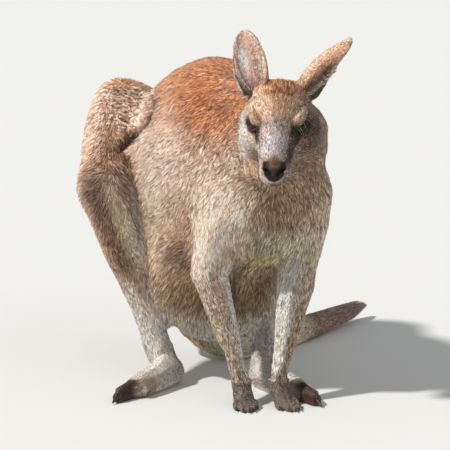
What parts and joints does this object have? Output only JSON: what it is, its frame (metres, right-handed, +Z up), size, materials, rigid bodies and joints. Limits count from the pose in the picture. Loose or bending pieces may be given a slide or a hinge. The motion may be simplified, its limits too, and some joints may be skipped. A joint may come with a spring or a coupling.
{
  "type": "kangaroo",
  "caption": "Life-size eastern grey kangaroo doe standing on all fours with her tail on the ground and her head turned, as a still model.",
  "frame": {"origin": "centre of the bounding box on the floor plane that the feet, hands and tail rest on", "axes": "+Z up; the animal's trunk faces -Y, its own left side is +X, and the tail curls towards +X and +Y"},
  "size_m": [0.8606, 0.887, 0.7352],
  "materials": {
    "coat": "dense short fur, rufous brown above and grizzled buff below",
    "pale_coat": "soft pale buff fur",
    "dark_coat": "very short dark brown fur",
    "claw": "smooth black horn",
    "eye": "wet, dark brown"
  },
  "bodies": {
    "root": {"abdomen": "coat", "chest": "coat", "claw_fifth_left": "claw", "claw_fifth_right": "claw", "claw_finger_1_left": "claw", "claw_finger_1_right": "claw", "claw_finger_2_left": "claw", "claw_finger_2_right": "claw", "claw_finger_3_left": "claw", "claw_finger_3_right": "claw", "claw_finger_4_left": "claw", "claw_finger_4_right": "claw", "claw_finger_5_left": "claw", "claw_finger_5_right": "claw", "claw_fourth_left": "claw", "claw_fourth_right": "claw", "claw_second_left": "claw", "claw_second_right": "claw", "claw_third_left": "claw", "claw_third_right": "claw", "ear_left": "coat", "ear_right": "coat", "eye_left": "eye", "eye_right": "eye", "forearm_left": "coat", "forearm_right": "coat", "hand_left": "dark_coat", "hand_right": "dark_coat", "head": "coat", "hind_foot_left": "coat", "hind_foot_right": "coat", "neck": "coat", "pouch": "pale_coat", "rump": "coat", "shank_left": "coat", "shank_right": "coat", "tail_base": "coat", "tail_mid": "coat", "tail_tip": "dark_coat", "thigh_left": "coat", "thigh_right": "coat", "toe_fifth_left": "dark_coat", "toe_fifth_right": "dark_coat", "toe_fourth_left": "dark_coat", "toe_fourth_right": "dark_coat", "toe_joined_left": "dark_coat", "toe_joined_right": "dark_coat", "upper_arm_left": "coat", "upper_arm_right": "coat"}
  },
  "joints": []
}
